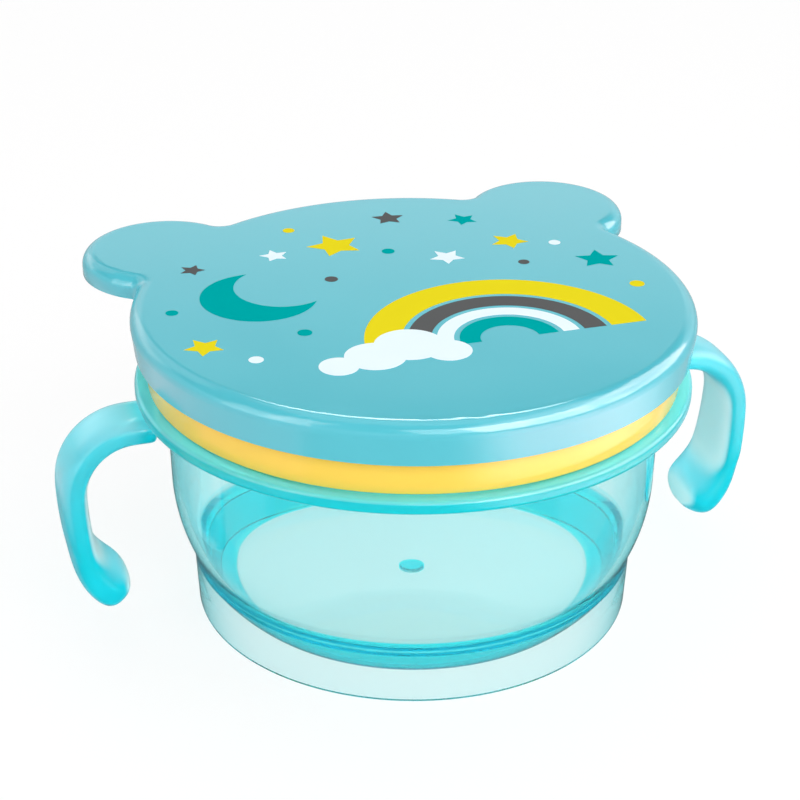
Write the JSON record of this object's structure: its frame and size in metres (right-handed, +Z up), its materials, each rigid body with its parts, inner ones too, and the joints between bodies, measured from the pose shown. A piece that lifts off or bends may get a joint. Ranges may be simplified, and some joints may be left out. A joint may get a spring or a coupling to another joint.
{
  "type": "snack container",
  "caption": "Clear round snack bowl with two open handles, a push-on ring with soft self-closing flaps and a push-on lid with two round lobes.",
  "frame": {"origin": "on the bowl's axis, at the level of the table that the foot stands on", "axes": "+Z up along the bowl's axis, +X along the line of the two handles, +Y towards the side with the lid's two lobes"},
  "size_m": [0.1628, 0.125, 0.0733],
  "materials": {
    "clear_turquoise": "clear tinted moulded polypropylene, gloss",
    "yellow_ring": "opaque moulded polypropylene, satin gloss",
    "soft_turquoise": "soft moulded elastomer, fine matte",
    "turquoise_lid": "opaque moulded polypropylene, soft gloss, printed top"
  },
  "bodies": {
    "bowl": {"bowl": "clear_turquoise", "handle_left": "clear_turquoise", "handle_right": "clear_turquoise"},
    "insert": {"insert_ring": "yellow_ring", "flap_collar": "soft_turquoise"},
    "flap_1": {"flap_1": "soft_turquoise"},
    "flap_2": {"flap_2": "soft_turquoise"},
    "flap_3": {"flap_3": "soft_turquoise"},
    "flap_4": {"flap_4": "soft_turquoise"},
    "flap_5": {"flap_5": "soft_turquoise"},
    "flap_6": {"flap_6": "soft_turquoise"},
    "flap_7": {"flap_7": "soft_turquoise"},
    "flap_8": {"flap_8": "soft_turquoise"},
    "lid": {"lid": "turquoise_lid"}
  },
  "joints": [
    {"name": "insert_lift", "type": "slide", "parent": "bowl", "child": "insert", "axis": [0, 0, 1], "range_m": [0, 0.06]},
    {"name": "lid_lift", "type": "slide", "parent": "insert", "child": "lid", "axis": [0, 0, 1], "range_m": [0, 0.06]},
    {"name": "flap_1_bend", "type": "hinge", "parent": "insert", "child": "flap_1", "pos_m": [0.02725, 0.01129, 0.06565], "axis": [0.3827, -0.9239, 0], "range_deg": [-10, 60], "stiffness_Nm_per_rad": 0.003},
    {"name": "flap_2_bend", "type": "hinge", "parent": "insert", "child": "flap_2", "pos_m": [0.01129, 0.02725, 0.06565], "axis": [0.9239, -0.3827, 0], "range_deg": [-10, 60], "stiffness_Nm_per_rad": 0.003},
    {"name": "flap_3_bend", "type": "hinge", "parent": "insert", "child": "flap_3", "pos_m": [-0.01129, 0.02725, 0.06565], "axis": [0.9239, 0.3827, 0], "range_deg": [-10, 60], "stiffness_Nm_per_rad": 0.003},
    {"name": "flap_4_bend", "type": "hinge", "parent": "insert", "child": "flap_4", "pos_m": [-0.02725, 0.01129, 0.06565], "axis": [0.3827, 0.9239, 0], "range_deg": [-10, 60], "stiffness_Nm_per_rad": 0.003},
    {"name": "flap_5_bend", "type": "hinge", "parent": "insert", "child": "flap_5", "pos_m": [-0.02725, -0.01129, 0.06565], "axis": [-0.3827, 0.9239, 0], "range_deg": [-10, 60], "stiffness_Nm_per_rad": 0.003},
    {"name": "flap_6_bend", "type": "hinge", "parent": "insert", "child": "flap_6", "pos_m": [-0.01129, -0.02725, 0.06565], "axis": [-0.9239, 0.3827, 0], "range_deg": [-10, 60], "stiffness_Nm_per_rad": 0.003},
    {"name": "flap_7_bend", "type": "hinge", "parent": "insert", "child": "flap_7", "pos_m": [0.01129, -0.02725, 0.06565], "axis": [-0.9239, -0.3827, 0], "range_deg": [-10, 60], "stiffness_Nm_per_rad": 0.003},
    {"name": "flap_8_bend", "type": "hinge", "parent": "insert", "child": "flap_8", "pos_m": [0.02725, -0.01129, 0.06565], "axis": [-0.3827, -0.9239, 0], "range_deg": [-10, 60], "stiffness_Nm_per_rad": 0.003}
  ]
}
